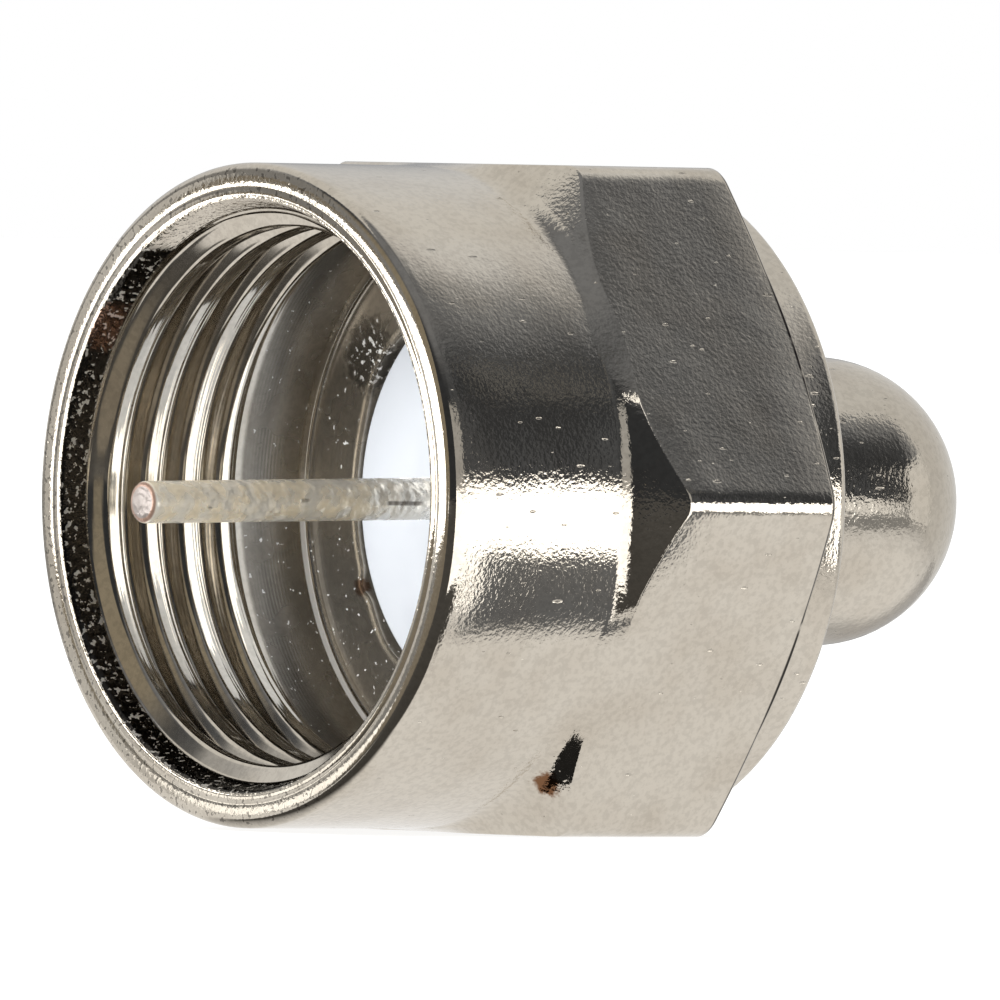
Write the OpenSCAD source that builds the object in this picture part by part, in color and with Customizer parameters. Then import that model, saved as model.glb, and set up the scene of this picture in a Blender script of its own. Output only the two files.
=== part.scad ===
// Screw-on coaxial terminator: a cast shell with a threaded mouth, a white insulator and a film
// resistor whose front lead is the centre pin and whose rear lead is soldered into the nub.
// The axis lies along X, the mouth faces -X at x = 0, and one flat of the hexagon faces down.

/* [Coupling barrel] */
// Outside diameter of the round front barrel
barrel_d = 11; // [10.6:0.05:11.05]
// Rounding of the rim's outer edge
rim_round = 0.16; // [0.1:0.02:0.3]
// Diameter of the mouth at the rim's inner edge
mouth_d = 9.78; // [9.6:0.02:10]
// Diameter at the bottom of the tapered lead-in
lead_in_d = 9.54; // [9.5:0.02:9.58]
// Depth of the tapered lead-in
lead_in = 0.45; // [0.3:0.05:0.6]

/* [Coupling thread] */
// Bore over the crests of the 3/8 inch thread
thread_bore_d = 8.92; // [8.8:0.02:9]
// Diameter over the bottoms of the grooves
thread_root_d = 9.52; // [9.4:0.02:9.54]
// Threads in one inch
threads_per_inch = 32; // [28:2:34]
// Width of the flat crests
crest_w = 0.34; // [0.2:0.02:0.38]
// Depth of the middle of a crest below the rim, on the +Y side
crest_at = 0.83; // [0.6:0.01:1.2]
// Length of the threaded bore
thread_len = 2.97; // [2:0.01:3.1]
// Diameter of the relief behind the thread
relief_d = 9.6; // [9.55:0.05:9.8]
// Rounding in the corner between the relief and the shoulder
relief_round = 0.1; // [0.05:0.01:0.2]
// Depth of the shoulder below the rim
shoulder_depth = 5.2; // [4.8:0.05:6]

/* [Hexagon] */
// Width across the flats
hex_af = 11.1; // [11:0.05:11.6]
// Length from the barrel to the collar
hex_len = 3.97; // [3:0.01:4.5]
// Rounding of the six long edges
corner_round = 0.5; // [0.1:0.05:1]
// Slope of the front corner facets from square
front_slope = 36; // [20:1:45]
// Slope of the rear corner facets from square
rear_slope = 17; // [8:1:30]

/* [Collar and nub] */
// Diameter of the round collar behind the hexagon
collar_d = 10.95; // [10.4:0.05:11]
// Length of the collar
collar_len = 0.73; // [0.5:0.01:1.2]
// Rounding of the collar's rear edge
collar_round = 0.3; // [0.1:0.05:0.4]
// Thickness of the rear wall between the insulator's seat and the rear face
rear_wall = 1.72; // [1.4:0.02:2.4]
// Wall of the nub around the resistor
nub_wall = 0.97; // [0.7:0.01:1.4]
// Fillet between the rear face and the nub
nub_fillet = 0.3; // [0.1:0.05:0.6]
// Wall between the solder well and the tip of the nub
tip_wall = 0.76; // [0.6:0.02:1.4]

/* [Insulator] */
// Outside diameter of the bushing
insulator_d = 7; // [6.4:0.1:7.6]
// Thickness of the bushing
insulator_t = 1.5; // [1:0.1:2.5]
// How far its face lies below the shoulder
insulator_recess = 0.06; // [0.02:0.02:0.3]
// Bevel of its rear edge
insulator_bevel = 0.2; // [0.1:0.05:0.4]
// Radial clearance of the bushing in its seat
seat_clear = 0.05; // [0.02:0.01:0.1]

/* [Resistor] */
// Length of the lacquered body
resistor_len = 6; // [5:0.1:7]
// Diameter of the lacquered ends
resistor_d = 2.4; // [2.2:0.05:2.7]
// Diameter of the lacquered waist
waist_d = 2.1; // [2:0.05:2.15]
// Length of each thick end
lobe_len = 1.6; // [1.3:0.1:2]
// Rounding of the thick ends
lobe_round = 0.35; // [0.2:0.05:0.4]
// Lacquer over the end face of each cap
coat_end = 0.25; // [0.15:0.01:0.4]
// Diameter of the ceramic rod
core_d = 1.6; // [1.3:0.05:1.65]
// Wall of the pressed caps
cap_wall = 0.14; // [0.1:0.01:0.15]
// Length of the pressed caps
cap_len = 1.1; // [0.8:0.05:1.3]
// Radial gap between the rod, the caps and the lacquer
bond_gap = 0.01; // [0.005:0.005:0.02]
// Radial clearance of the body in the nub
chamber_clear = 0.25; // [0.1:0.01:0.4]

/* [Leads and solder] */
// Diameter of both leads
lead_d = 0.68; // [0.5:0.02:0.8]
// Tin on the free end of the centre pin, over the lead's own radius
tin_build = 0.01; // [0.005:0.005:0.015]
// Radial clearance of the leads in the insulator and the lacquer
lead_clear = 0.02; // [0.01:0.01:0.05]
// How far the centre pin stands out of the mouth
pin_reach = 2.12; // [1:0.02:4]
// Angle by which the free end of the pin is bent down
pin_droop = 1; // [0.6:0.1:2]
// Length of the straight lead inside the tinned end
pin_lap = 0.1; // [0.05:0.01:0.12]
// Gap between the resistor's body and the end of its chamber
end_gap = 0.23; // [0.2:0.01:0.5]
// Diameter of the solder well
well_d = 1.3; // [1.1:0.05:1.8]
// Depth of the solder well
well_depth = 0.85; // [0.6:0.05:1.2]
// Solder between the end of the ground lead and the well's floor
solder_floor = 0.25; // [0.1:0.01:0.4]
// Height of the solder's cone above the well
solder_rise = 0.15; // [0.05:0.01:0.18]
// Width of the solder's edge around the lead at the top of that cone
solder_edge = 0.08; // [0.04:0.01:0.15]

/* [Hidden] */
$fn = 96;

// Cutters run past the face they open by this much
past = 1;

// Angle of the thread's flanks, and of the step from the lead-in to its crests, from square
flank_angle = 30;

// Places along the axis, from the mouth to the tip of the nub
thread_start = lead_in + (lead_in_d - thread_bore_d) / 2 * tan(flank_angle);
thread_end = thread_start + thread_len;
face_x = shoulder_depth + insulator_recess;
seat_floor = face_x + insulator_t;
rear_face = seat_floor + rear_wall;
hex_end = rear_face - collar_len;
hex_start = hex_end - hex_len;
coat_front = seat_floor;
coat_rear = coat_front + resistor_len;
front_cap_x = coat_front + coat_end;
rear_cap_x = coat_rear - coat_end;
chamber_end = coat_rear + end_gap;
well_end = chamber_end + well_depth;
lead_end = well_end - solder_floor;

// Diameters that follow from what goes inside
seat_d = insulator_d + 2 * seat_clear;
chamber_d = resistor_d + 2 * chamber_clear;
nub_d = chamber_d + 2 * nub_wall;
nub_tip = well_end + tip_wall;
cap_bore_d = core_d + 2 * bond_gap;
cap_d = cap_bore_d + 2 * cap_wall;
lead_hole_d = lead_d + 2 * lead_clear;
pin_d = lead_d + 2 * tin_build;

// Sharp corners of the hexagon, and the drop of the corner facets along the axis
corner_d = hex_af / cos(30);
front_drop = (corner_d - barrel_d) / 2 * tan(front_slope);
rear_drop = (corner_d - collar_d) / 2 * tan(rear_slope);

// The thread's groove winds from in front of the mouth into the relief, and its section starts a
// little inside the crests
inch = 25.4;
pitch = inch / threads_per_inch;
groove_over = 0.06;
groove_at = crest_at + pitch / 2;
helix_steps = 30;
helix_from = floor(-(pitch + crest_at) / pitch * helix_steps);
helix_to = ceil((thread_end - crest_at) / pitch * helix_steps);

// Lays what is drawn upright along +X
module along_axis() {
    rotate([0, 90, 0]) children();
}

// Round bar along the axis
module bar(d, from, to) {
    along_axis() translate([0, 0, from]) cylinder(d = d, h = to - from);
}

// Tapered bar along the axis
module taper(d1, d2, from, to) {
    along_axis() translate([0, 0, from]) cylinder(d1 = d1, d2 = d2, h = to - from);
}

// Round bar with a rounded edge at its far end
module bar_round_end(d, from, to, edge) {
    along_axis() rotate_extrude() {
        translate([0, from]) square([d / 2, to - edge - from]);
        translate([0, from]) square([d / 2 - edge, to - from]);
        translate([d / 2 - edge, to - edge]) circle(edge);
    }
}

// The same bar with the rounded edge at its near end
module bar_round_start(d, from, to, edge) {
    translate([from + to, 0, 0]) mirror([1, 0, 0]) bar_round_end(d, from, to, edge);
}

// Outline of the hexagon with its corners rounded
module hexagon_outline() {
    side = (hex_af - 2 * corner_round) * tan(30);
    for (turn = [0 : 60 : 120]) rotate(turn) square([hex_af, side], center = true);
    for (turn = [30 : 60 : 330]) rotate(turn) translate([side, 0]) circle(corner_round);
}

// Hexagon bar with a flat facing down, its corners faceted at both ends
module hexagon() {
    intersection() {
        along_axis() translate([0, 0, hex_start]) linear_extrude(hex_len) hexagon_outline();
        along_axis() rotate_extrude() polygon([
            [0, hex_start],
            [barrel_d / 2, hex_start],
            [corner_d / 2, hex_start + front_drop],
            [corner_d / 2, hex_end - rear_drop],
            [collar_d / 2, hex_end],
            [0, hex_end]
        ]);
    }
}

// Ball-ended nub with a fillet at its root
module nub() {
    dome_x = nub_tip - nub_d / 2;
    bar(nub_d, rear_face - rear_wall / 2, dome_x);
    translate([dome_x, 0, 0]) sphere(d = nub_d);
    along_axis() rotate_extrude() difference() {
        translate([0, rear_face - nub_fillet]) square([nub_d / 2 + nub_fillet, 2 * nub_fillet]);
        translate([nub_d / 2 + nub_fillet, rear_face + nub_fillet]) circle(nub_fillet);
    }
}

// Corners of the groove's section, as [place along the axis, radius]
function groove_section() =
    let (root_r = thread_root_d / 2, top_r = thread_bore_d / 2 - groove_over)
    let (top_w = pitch - crest_w + 2 * groove_over * tan(flank_angle))
    let (root_w = top_w - 2 * (root_r - top_r) * tan(flank_angle))
    [[-top_w / 2, top_r], [top_w / 2, top_r], [root_w / 2, root_r], [-root_w / 2, root_r]];

// Where a corner of the section lies at a step of the right-handed helix
function helix_point(step, corner) =
    let (turn = 360 * step / helix_steps)
    [groove_at + pitch * step / helix_steps + corner.x, corner.y * cos(turn), corner.y * sin(turn)];

// The groove between the crests of the thread, as one solid
module thread_groove() {
    section = groove_section();
    count = len(section);
    last = (helix_to - helix_from) * count;
    points = [for (step = [helix_from : helix_to], corner = section) helix_point(step, corner)];
    sides = [for (first = [0 : count : last - count], corner = [0 : count - 1])
        let (here = first + corner, next = first + (corner + 1) % count)
        each [[next + count, next, here], [here + count, next + count, here]]];
    front = [for (corner = [0 : count - 1]) corner];
    rear = [for (corner = [count - 1 : -1 : 0]) last + corner];
    polyhedron(points, concat([front], sides, [rear]));
}

// Stepped blind bore: lead-in, thread, relief, insulator seat, resistor chamber and solder well
module cavity() {
    bar(mouth_d, -past, 0);
    taper(mouth_d, lead_in_d, 0, lead_in);
    taper(lead_in_d, thread_bore_d, lead_in, thread_start);
    thread_groove();
    bar(thread_bore_d, 0, thread_end + relief_round);
    bar_round_end(relief_d, thread_end, shoulder_depth, relief_round);
    bar(seat_d, thread_end, seat_floor);
    bar(chamber_d, thread_end, chamber_end);
    bar(well_d, thread_end, well_end);
}

module shell() {
    color("silver") difference() {
        union() {
            bar_round_start(barrel_d, 0, (hex_start + hex_end) / 2, rim_round);
            hexagon();
            bar_round_end(collar_d, (hex_start + hex_end) / 2, rear_face, collar_round);
            nub();
        }
        cavity();
    }
}

module insulator() {
    color("white") difference() {
        union() {
            bar(insulator_d, face_x, seat_floor - insulator_bevel);
            taper(insulator_d, insulator_d - 2 * insulator_bevel, seat_floor - insulator_bevel, seat_floor);
        }
        bar(lead_hole_d, face_x - past, seat_floor + past);
    }
}

// Front lead: straight through the insulator, its tinned free end bent down in front of it
module centre_pin() {
    color("gainsboro") {
        bar(lead_d, face_x - pin_lap, front_cap_x);
        translate([face_x, 0, 0]) rotate([0, -90 - pin_droop, 0])
            cylinder(d = pin_d, h = (face_x + pin_reach) / cos(pin_droop));
    }
}

module resistor_core() {
    color("wheat") bar(core_d, front_cap_x + cap_wall, rear_cap_x - cap_wall);
}

// Pressed cap that opens towards +X
module cap(end_x) {
    difference() {
        bar(cap_d, end_x, end_x + cap_len);
        bar(cap_bore_d, end_x + cap_wall, end_x + cap_len + past);
    }
}

module front_cap() {
    color("lightgray") cap(front_cap_x);
}

module rear_cap() {
    color("lightgray") translate([front_cap_x + rear_cap_x, 0, 0]) mirror([1, 0, 0]) cap(front_cap_x);
}

// Lacquer body, thick over the caps, hollowed by what it covers
module resistor_coating() {
    color("tan") difference() {
        union() {
            bar(waist_d, coat_front + lobe_len / 2, coat_rear - lobe_len / 2);
            lobe(coat_front);
            lobe(coat_rear - lobe_len);
        }
        bar(cap_bore_d, front_cap_x, rear_cap_x);
        bar(cap_d + 2 * bond_gap, front_cap_x, front_cap_x + cap_len);
        bar(cap_d + 2 * bond_gap, rear_cap_x - cap_len, rear_cap_x);
        bar(lead_hole_d, coat_front - past, coat_rear + past);
    }
}

// Thick end of the lacquer, rounded at both edges
module lobe(from) {
    middle = from + lobe_len / 2;
    bar_round_start(resistor_d, from, middle, lobe_round);
    bar_round_end(resistor_d, middle, from + lobe_len, lobe_round);
}

module ground_lead() {
    color("gainsboro") bar(lead_d, rear_cap_x, lead_end);
}

// Solder that fills the well and rises in a cone around the lead
module solder_joint() {
    color("darkgray") difference() {
        union() {
            bar(well_d, chamber_end, well_end);
            taper(lead_d + 2 * solder_edge, well_d, chamber_end - solder_rise, chamber_end);
        }
        bar(lead_d, rear_cap_x, lead_end);
    }
}

shell();
insulator();
centre_pin();
resistor_core();
front_cap();
rear_cap();
resistor_coating();
ground_lead();
solder_joint();
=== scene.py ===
"""Looks of a screw-on coaxial terminator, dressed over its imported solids."""

import logging
import math
from dataclasses import dataclass
from enum import Enum
from functools import reduce

import bpy
import numpy as np
from mathutils import Matrix, Vector, kdtree


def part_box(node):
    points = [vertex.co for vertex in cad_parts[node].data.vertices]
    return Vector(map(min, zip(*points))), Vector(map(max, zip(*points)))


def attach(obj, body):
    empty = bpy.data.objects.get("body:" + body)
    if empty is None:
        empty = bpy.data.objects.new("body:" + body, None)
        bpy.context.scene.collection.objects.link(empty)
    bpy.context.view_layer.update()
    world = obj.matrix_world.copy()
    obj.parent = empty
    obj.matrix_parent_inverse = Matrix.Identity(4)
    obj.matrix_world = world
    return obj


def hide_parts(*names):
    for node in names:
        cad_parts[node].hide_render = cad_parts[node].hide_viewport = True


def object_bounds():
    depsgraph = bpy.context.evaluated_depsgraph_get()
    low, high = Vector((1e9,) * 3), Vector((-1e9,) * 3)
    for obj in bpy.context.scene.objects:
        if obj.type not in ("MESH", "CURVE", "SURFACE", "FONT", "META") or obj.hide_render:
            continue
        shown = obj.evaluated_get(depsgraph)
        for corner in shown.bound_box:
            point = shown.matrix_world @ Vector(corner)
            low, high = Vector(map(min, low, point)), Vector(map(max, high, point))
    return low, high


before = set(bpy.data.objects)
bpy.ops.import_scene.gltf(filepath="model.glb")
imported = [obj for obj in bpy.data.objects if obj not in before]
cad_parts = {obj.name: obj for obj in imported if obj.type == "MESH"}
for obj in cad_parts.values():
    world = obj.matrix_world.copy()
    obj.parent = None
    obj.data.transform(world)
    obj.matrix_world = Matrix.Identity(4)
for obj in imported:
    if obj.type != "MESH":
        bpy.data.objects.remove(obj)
CAD_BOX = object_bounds()
MM = 0.001
BODY = "root"
LOG = logging.getLogger("terminator")
Row = tuple[np.ndarray, np.ndarray]
Colour = tuple[float, float, float]
Place = tuple[float, float, float]
Span = tuple[float, float]
Socket = bpy.types.NodeSocket
Tree = bpy.types.NodeTree
Node = bpy.types.Node
Material = bpy.types.Material
Piece = bpy.types.Object


class ThreadHand(Enum):
    """Which way a thread winds as it goes in."""

    RIGHT = 1
    LEFT = -1


class Band(Enum):
    """Colour bands of a 75 ohm resistor, in the order they are read."""

    VIOLET = (0.16, 0.03, 0.30)
    GREEN = (0.02, 0.20, 0.05)
    BLACK = (0.012, 0.012, 0.012)
    GOLD = (0.45, 0.27, 0.05)


class NodeBench:
    """Adds and links the nodes of one shader tree."""

    def __init__(self, tree: Tree) -> None:
        """Take the tree to work on."""
        self.tree = tree

    def add(self, kind: str, values: dict | None = None, **settings: object) -> Node:
        """Add a node.

        Args:
            kind: The node's type name.
            values: Input names or places, each with a number, a colour or a socket to link.
            settings: Properties of the node itself.

        Returns:
            The new node.
        """
        node = self.tree.nodes.new(kind)
        for name, value in settings.items():
            setattr(node, name, value)
        for place, value in (values or {}).items():
            self.feed(node, place, value)
        return node

    def feed(self, node: Node, place: str | int, value: object) -> None:
        """Set or link one input.

        Args:
            node: The node that takes the value.
            place: The input's name or number.
            value: A number, a tuple or an output socket.
        """
        if isinstance(value, Socket):
            self.tree.links.new(value, node.inputs[place])
        else:
            node.inputs[place].default_value = value

    def math(self, operation: str, *values: object) -> Socket:
        """Add a math node and return its output."""
        return self.add("ShaderNodeMath", dict(enumerate(values)), operation=operation).outputs[0]

    def ramp(self, value: object, low: float, high: float, start: float = 0.0, end: float = 1.0) -> Socket:
        """Smooth step from start, up to the low value, to end, from the high value on."""
        values = {0: value, 1: low, 2: high, 3: start, 4: end}
        return self.add("ShaderNodeMapRange", values, interpolation_type="SMOOTHSTEP").outputs[0]

    def fall(self, value: object, low: float, high: float) -> Socket:
        """Add a smooth step from 1 down to 0."""
        return self.ramp(value, low, high, 1.0, 0.0)

    def noise(self, vector: object, scale: object, detail: float = 2.0, rough: float = 0.5) -> Socket:
        """Noise of about 0.5 on the mean, with a number of finer layers and their strength."""
        values = {"Vector": vector, "Scale": scale, "Detail": detail, "Roughness": rough}
        return self.add("ShaderNodeTexNoise", values).outputs[0]

    def blend(self, share: object, first: object, second: object) -> Socket:
        """Mix two colours.

        Args:
            share: How much of the second colour shows.
            first: Colour or socket where share is 0.
            second: Colour or socket where share is 1.

        Returns:
            The mixed colour.
        """
        node = self.add("ShaderNodeMix", data_type="RGBA")
        for place, value in ((0, share), (6, first), (7, second)):
            if isinstance(value, tuple):
                value = (*value, 1.0)
            self.feed(node, place, value)
        return node.outputs[2]

    def millimetres(self) -> Socket:
        """Object coordinates in millimetres."""
        place = self.add("ShaderNodeTexCoord").outputs["Object"]
        scale = (1 / MM, 1 / MM, 1 / MM)
        return self.add("ShaderNodeMapping", {"Vector": place, "Scale": scale}).outputs[0]

    def split(self, vector: object) -> list[Socket]:
        """The three parts of a vector."""
        return list(self.add("ShaderNodeSeparateXYZ", {0: vector}).outputs)

    def along(self, vector: object, way: Place | Vector) -> Socket:
        """How far a vector reaches along a way."""
        node = self.add("ShaderNodeVectorMath", {0: vector, 1: tuple(way)}, operation="DOT_PRODUCT")
        return node.outputs["Value"]

    def product(self, *values: object) -> Socket:
        """Product of two or more numbers or sockets."""
        return reduce(lambda total, value: self.math("MULTIPLY", total, value), values)

    def radius(self, across: object, up: object) -> Socket:
        """Distance from an axis, from the two places beside it."""
        return self.math("SQRT", self.math("ADD", self.product(across, across), self.product(up, up)))

    def stripe(self, value: object, middle: float, half: float, soft: float) -> Socket:
        """Mask of a stripe, from its middle, half its width and the width of its soft edges."""
        off = self.math("ABSOLUTE", self.math("SUBTRACT", value, middle))
        return self.fall(off, half - soft, half)


@dataclass(frozen=True)
class SkinScales:
    """How fine the shared skin is, per millimetre, and the share of its cells that hold a pit."""

    wave: float
    grain: float
    pit: float
    pit_share: float


@dataclass(frozen=True)
class Spot:
    """Middle and radius of a worn spot, in millimetres."""

    centre: Place
    radius: float


class EffectShelf:
    """Shader node groups that several finishes share."""

    pit_turn: Place = (0.5, 0.6, 0.3)
    pit_stretch: Place = (0.3, 1.0, 1.0)
    pit_least: float = 0.08
    pit_spread: float = 0.16
    pit_edge: Span = (0.45, 1.0)
    pit_ragged: Span = (0.6, 0.8)
    pit_height: float = -0.5
    grain_height: float = 0.34
    cloud_share: float = 0.8
    spot_edge: Span = (0.55, 1.0)

    def __init__(self) -> None:
        """Build each group once."""
        self.grain = self._grain()
        self.spot = self._spot()

    @staticmethod
    def _open(
        name: str, inputs: list[str], outputs: list[str], vectors: tuple[str, ...],
    ) -> tuple[NodeBench, Node, Node]:
        """Start a group with its sockets.

        Args:
            name: Name of the group.
            inputs: Names of the inputs.
            outputs: Names of the value outputs.
            vectors: The inputs that take a vector instead of a value.

        Returns:
            The bench, the group's input node and its output node.
        """
        group = bpy.data.node_groups.new(name, "ShaderNodeTree")
        for label in inputs:
            kind = "NodeSocketVector" if label in vectors else "NodeSocketFloat"
            group.interface.new_socket(name=label, in_out="INPUT", socket_type=kind)
        for label in outputs:
            group.interface.new_socket(name=label, in_out="OUTPUT", socket_type="NodeSocketFloat")
        bench = NodeBench(group)
        return bench, bench.add("NodeGroupInput"), bench.add("NodeGroupOutput")

    def _grain(self) -> Tree:
        """Group for the skin of a casting or a drawn piece.

        Returns:
            A group that gives a height, a mask of pits and a slow cloud.
        """
        inputs = ["Vector", "Wave Scale", "Grain Scale", "Pit Scale", "Pit Share"]
        bench, given, out = self._open("casting_grain", inputs, ["Height", "Pits", "Cloud"], ("Vector",))
        at = given.outputs["Vector"]
        wave_scale = given.outputs["Wave Scale"]
        wave = bench.noise(at, wave_scale, 1.0)
        soft = bench.noise(at, given.outputs["Grain Scale"])
        stretched = {"Vector": at, "Rotation": self.pit_turn, "Scale": self.pit_stretch}
        long = bench.add("ShaderNodeMapping", stretched).outputs[0]
        cells = bench.add("ShaderNodeTexVoronoi", {"Vector": long, "Scale": given.outputs["Pit Scale"]})
        chance = bench.add("ShaderNodeSeparateColor", {0: cells.outputs["Color"]}).outputs
        chosen = bench.math("LESS_THAN", chance[0], given.outputs["Pit Share"])
        mostly_small = bench.math("POWER", chance[1], 3.0)
        size = bench.math("MULTIPLY_ADD", mostly_small, self.pit_spread, self.pit_least)
        ragged = bench.math("MULTIPLY_ADD", soft, self.pit_ragged[1], self.pit_ragged[0])
        off = bench.product(bench.math("DIVIDE", cells.outputs["Distance"], size), ragged)
        pits = bench.math("MULTIPLY", bench.fall(off, *self.pit_edge), chosen)
        height = bench.math("MULTIPLY_ADD", soft, self.grain_height, wave)
        cloud_scale = bench.math("MULTIPLY", wave_scale, self.cloud_share)
        bench.feed(out, "Height", bench.math("MULTIPLY_ADD", pits, self.pit_height, height))
        bench.feed(out, "Pits", pits)
        bench.feed(out, "Cloud", bench.noise(at, cloud_scale, 2.0, 0.6))
        return bench.tree

    def _spot(self) -> Tree:
        """Group for a ragged worn spot.

        Returns:
            A group that gives a mask around a centre.
        """
        inputs = ["Vector", "Centre", "Radius", "Ragged"]
        bench, given, out = self._open("worn_spot", inputs, ["Mask"], ("Vector", "Centre"))
        ends = {0: given.outputs["Vector"], 1: given.outputs["Centre"]}
        away = bench.add("ShaderNodeVectorMath", ends, operation="DISTANCE")
        share = bench.math("DIVIDE", away.outputs["Value"], given.outputs["Radius"])
        ragged = bench.math("ADD", share, bench.math("SUBTRACT", given.outputs["Ragged"], 0.5))
        bench.feed(out, "Mask", bench.fall(ragged, *self.spot_edge))
        return bench.tree

    def place_skin(self, bench: NodeBench, at: Socket, scales: SkinScales) -> Node:
        """Put the skin in a material, read at a place in millimetres, and return its node."""
        values = {
            "Vector": at, "Wave Scale": scales.wave, "Grain Scale": scales.grain,
            "Pit Scale": scales.pit, "Pit Share": scales.pit_share,
        }
        return bench.add("ShaderNodeGroup", values, node_tree=self.grain)

    def place_spot(self, bench: NodeBench, at: Socket, spot: Spot, ragged: Socket) -> Socket:
        """Put a worn spot in a material, with noise for its ragged edge, and return its mask."""
        values = {"Vector": at, "Centre": spot.centre, "Radius": spot.radius, "Ragged": ragged}
        return bench.add("ShaderNodeGroup", values, node_tree=self.spot).outputs["Mask"]


def start_material(name: str) -> tuple[Material, NodeBench, Node]:
    """Make a material with a Principled shader.

    Args:
        name: Name of the material.

    Returns:
        The material, its bench and the shader node.
    """
    material = bpy.data.materials.new(name)
    material.use_nodes = True
    return material, NodeBench(material.node_tree), material.node_tree.nodes["Principled BSDF"]


@dataclass(frozen=True)
class PlainFinish:
    """A clouded colour with pits, as on plastic, ceramic, caps and solder."""

    name: str
    light: Colour
    cloudy: Colour
    scales: SkinScales
    rough: Span
    bump_m: float
    cloud_edge: Span = (0.42, 0.66)
    rough_edge: Span = (0.3, 0.8)
    pit_colour: Colour = (0.09, 0.07, 0.06)
    pit_strength: float = 0.0
    metallic: float = 0.0

    def colour(self, bench: NodeBench, at: Socket, skin: Node) -> Socket:
        """Mix the colour.

        Args:
            bench: Bench of the material.
            at: Place in millimetres; not used here.
            skin: The skin effect in the material.

        Returns:
            The colour.
        """
        base = bench.blend(bench.ramp(skin.outputs["Cloud"], *self.cloud_edge), self.light, self.cloudy)
        pits = bench.math("MULTIPLY", skin.outputs["Pits"], self.pit_strength)
        return bench.blend(pits, base, self.pit_colour)

    def material(self, shelf: EffectShelf) -> Material:
        """Make the material.

        Args:
            shelf: The shared effects.

        Returns:
            The material.
        """
        material, bench, shader = start_material(self.name)
        at = bench.millimetres()
        skin = shelf.place_skin(bench, at, self.scales)
        bumps = {"Height": skin.outputs["Height"], "Distance": self.bump_m}
        bench.feed(shader, "Base Color", self.colour(bench, at, skin))
        bench.feed(shader, "Roughness", bench.ramp(skin.outputs["Cloud"], *self.rough_edge, *self.rough))
        bench.feed(shader, "Normal", bench.add("ShaderNodeBump", bumps).outputs[0])
        shader.inputs["Metallic"].default_value = self.metallic
        return material


@dataclass(frozen=True)
class LacquerFinish(PlainFinish):
    """Tan lacquer with colour bands, which stand at places along the axis in millimetres."""

    first_band: float = 7.5
    band_step: float = 1.15
    band_half: float = 0.305
    band_soft: float = 0.06

    def colour(self, bench: NodeBench, at: Socket, skin: Node) -> Socket:
        """Mix the lacquer's colour and lay the bands on it.

        Args:
            bench: Bench of the material.
            at: Place in millimetres.
            skin: The skin effect in the material.

        Returns:
            The colour.
        """
        base = super().colour(bench, at, skin)
        x = bench.split(at)[0]
        for count, band in enumerate(Band):
            middle = self.first_band + count * self.band_step
            base = bench.blend(bench.stripe(x, middle, self.band_half, self.band_soft), base, band.value)
        return base


@dataclass(frozen=True)
class TinFinish(PlainFinish):
    """Dull mottled tin on a copper wire whose cut end is bare; places are in millimetres."""

    pale: Colour = (0.88, 0.87, 0.83)
    pale_from: Span = (2.0, 3.3)
    pale_strength: float = 0.8
    # painted shade, darker towards the top of the wire
    painted_top_shade: Colour = (0.35, 0.32, 0.27)
    top_shade_from: Span = (-0.1, 0.2)
    top_shade_strength: float = 0.4
    scratch_x: tuple[float, float, float] = (3.15, 0.42, 0.1)
    scratch_z: tuple[float, float, float] = (-0.1, 0.05, 0.03)
    scratch_side: Span = (-0.2, -0.1)
    scratch_strength: float = 0.8
    bare: Colour = (0.27, 0.24, 0.225)
    copper: Colour = (0.33, 0.19, 0.13)
    copper_from: Span = (0.25, 0.28)
    copper_strength: float = 0.7
    end_x: Span = (-2.105, -2.075)
    end_drop: float = 0.129

    def colour(self, bench: NodeBench, at: Socket, skin: Node) -> Socket:
        """Mix the tin's colour, with a scratch in it, painted shade on its top and bare copper at its end.

        Args:
            bench: Bench of the material.
            at: Place in millimetres.
            skin: The skin effect in the material.

        Returns:
            The colour.
        """
        x, y, z = bench.split(at)
        high = bench.math("ADD", z, self.end_drop)
        scratch = bench.product(bench.stripe(z, *self.scratch_z), bench.stripe(x, *self.scratch_x))
        near = bench.ramp(y, *self.scratch_side, self.scratch_strength, 0.0)
        rind = bench.ramp(bench.radius(y, high), *self.copper_from, 0.0, self.copper_strength)
        base = bench.blend(bench.ramp(skin.outputs["Cloud"], *self.cloud_edge), self.light, self.cloudy)
        layers = (
            (bench.product(bench.ramp(x, *self.pale_from), self.pale_strength), self.pale),
            (bench.product(skin.outputs["Pits"], self.pit_strength), self.pit_colour),
            # painted shade on the top of the wire
            (bench.ramp(high, *self.top_shade_from, 0.0, self.top_shade_strength), self.painted_top_shade),
            (bench.product(scratch, near), self.pit_colour),
            (bench.fall(x, *self.end_x), bench.blend(rind, self.bare, self.copper)),
        )
        for share, colour in layers:
            base = bench.blend(share, base, colour)
        return base


TIN = TinFinish(
    "tinned_wire", (0.86, 0.83, 0.75), (0.97, 0.86, 0.65), SkinScales(3.6, 9.0, 5.0, 0.25), (0.2, 0.36),
    bump_m=0.00004, cloud_edge=(0.36, 0.66), rough_edge=(0.3, 0.75),
    pit_colour=(0.10, 0.085, 0.07), pit_strength=0.6, metallic=0.55,
)
WHITE_PLASTIC = PlainFinish(
    "white_plastic", (0.78, 0.82, 0.88), (0.66, 0.70, 0.76), SkinScales(0.7, 12.0, 4.0, 0.05), (0.38, 0.5),
    bump_m=0.000004, cloud_edge=(0.4, 0.8),
)
CERAMIC = PlainFinish(
    "ceramic_rod", (0.72, 0.68, 0.58), (0.72, 0.68, 0.58), SkinScales(2.0, 20.0, 12.0, 0.3), (0.6, 0.8),
    bump_m=0.000008, pit_colour=(0.55, 0.50, 0.42), pit_strength=1.0,
)
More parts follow.
